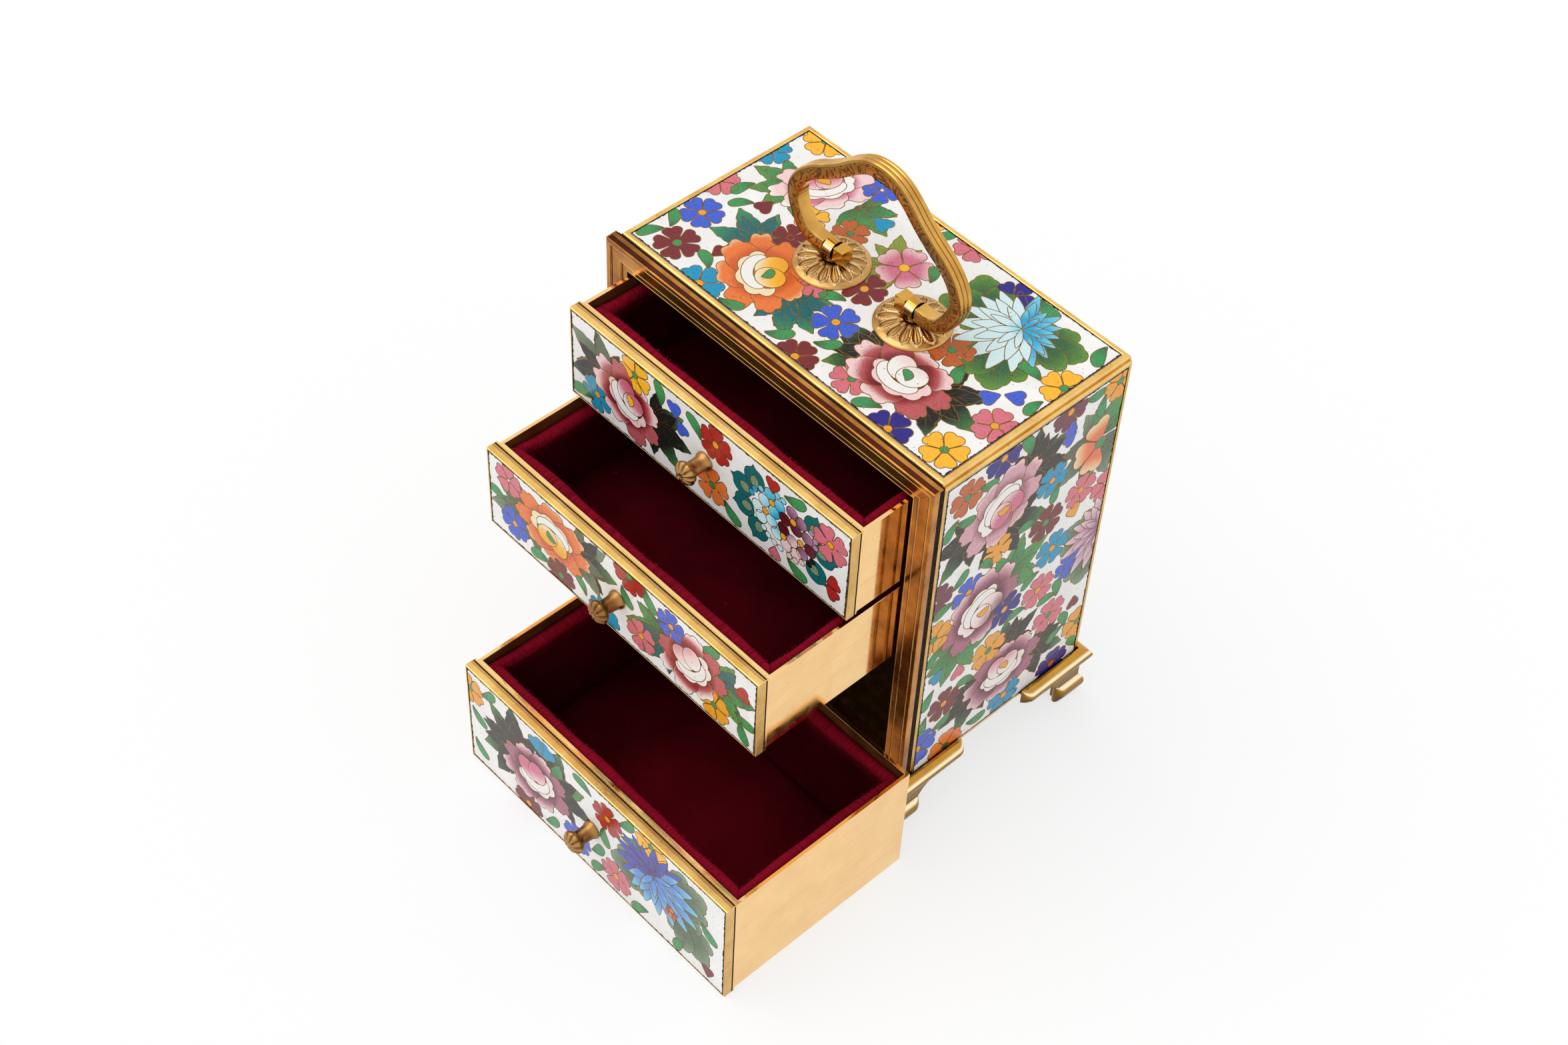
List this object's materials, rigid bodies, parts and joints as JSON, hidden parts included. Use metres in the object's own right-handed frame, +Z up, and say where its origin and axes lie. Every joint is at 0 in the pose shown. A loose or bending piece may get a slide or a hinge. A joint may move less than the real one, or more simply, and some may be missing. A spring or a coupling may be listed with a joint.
{
  "type": "miniature drawer cabinet",
  "caption": "Small gilt brass keepsake cabinet with floral enamel panels, velvet-lined drawers, bracket feet and a swinging bail handle.",
  "frame": {"origin": "middle of the footprint on the table, with the top and middle drawers pulled out and the bottom drawer standing in front", "axes": "+Z up, the drawers face -Y, +X to the right of someone facing them"},
  "size_m": [0.1122, 0.1308, 0.1473],
  "materials": {
    "gilt_brass": "polished gilt with darkened recesses",
    "polished_brass": "bright rolled sheet with fine scratches",
    "patinated_brass": "brown patina, worn bright on the edges",
    "enamel": "white ground with many-coloured flowers in gold wire",
    "velvet": "deep crimson pile"
  },
  "bodies": {
    "cabinet": {"top_tray": "gilt_brass", "left_tray": "gilt_brass", "right_tray": "gilt_brass", "back_tray": "gilt_brass", "foot_front_left": "gilt_brass", "foot_front_right": "gilt_brass", "foot_back_left": "gilt_brass", "foot_back_right": "gilt_brass", "rosette_left": "gilt_brass", "rosette_right": "gilt_brass", "handle_post_left": "gilt_brass", "handle_post_right": "gilt_brass", "post_nut_left": "gilt_brass", "post_nut_right": "gilt_brass", "frame_top_rail": "patinated_brass", "frame_bottom_rail": "patinated_brass", "frame_left_stile": "patinated_brass", "frame_right_stile": "patinated_brass", "upper_shelf": "patinated_brass", "lower_shelf": "patinated_brass", "bottom_plate": "patinated_brass", "top_enamel": "enamel", "left_enamel": "enamel", "right_enamel": "enamel", "back_enamel": "enamel"},
    "handle": {"handle_bail": "gilt_brass"},
    "top_drawer": {"top_drawer_box": "polished_brass", "top_drawer_front_tray": "gilt_brass", "top_drawer_front_enamel": "enamel", "top_drawer_lining_walls": "velvet", "top_drawer_lining_floor": "velvet", "top_drawer_knob": "gilt_brass", "top_drawer_knob_nut": "gilt_brass"},
    "middle_drawer": {"middle_drawer_box": "polished_brass", "middle_drawer_front_tray": "gilt_brass", "middle_drawer_front_enamel": "enamel", "middle_drawer_lining_walls": "velvet", "middle_drawer_lining_floor": "velvet", "middle_drawer_knob": "gilt_brass", "middle_drawer_knob_nut": "gilt_brass"},
    "bottom_drawer": {"bottom_drawer_box": "polished_brass", "bottom_drawer_front_tray": "gilt_brass", "bottom_drawer_front_enamel": "enamel", "bottom_drawer_lining_walls": "velvet", "bottom_drawer_lining_floor": "velvet", "bottom_drawer_knob": "gilt_brass", "bottom_drawer_knob_nut": "gilt_brass"}
  },
  "joints": [
    {"name": "top_drawer_slide", "type": "slide", "parent": "cabinet", "child": "top_drawer", "axis": [0, -1, 0], "range_m": [-0.0161, 0.0339]},
    {"name": "middle_drawer_slide", "type": "slide", "parent": "cabinet", "child": "middle_drawer", "axis": [0, -1, 0], "range_m": [-0.0406, 0.0094]},
    {"name": "bottom_drawer_return", "type": "slide", "parent": "cabinet", "child": "bottom_drawer", "axis": [-0.5868, 0.1824, 0.789], "range_m": [0, 0.0252]},
    {"name": "handle_swing", "type": "hinge", "parent": "cabinet", "child": "handle", "pos_m": [-0.00282, 0.03445, 0.1169], "axis": [1, 0, 0], "range_deg": [-86, 92]}
  ]
}
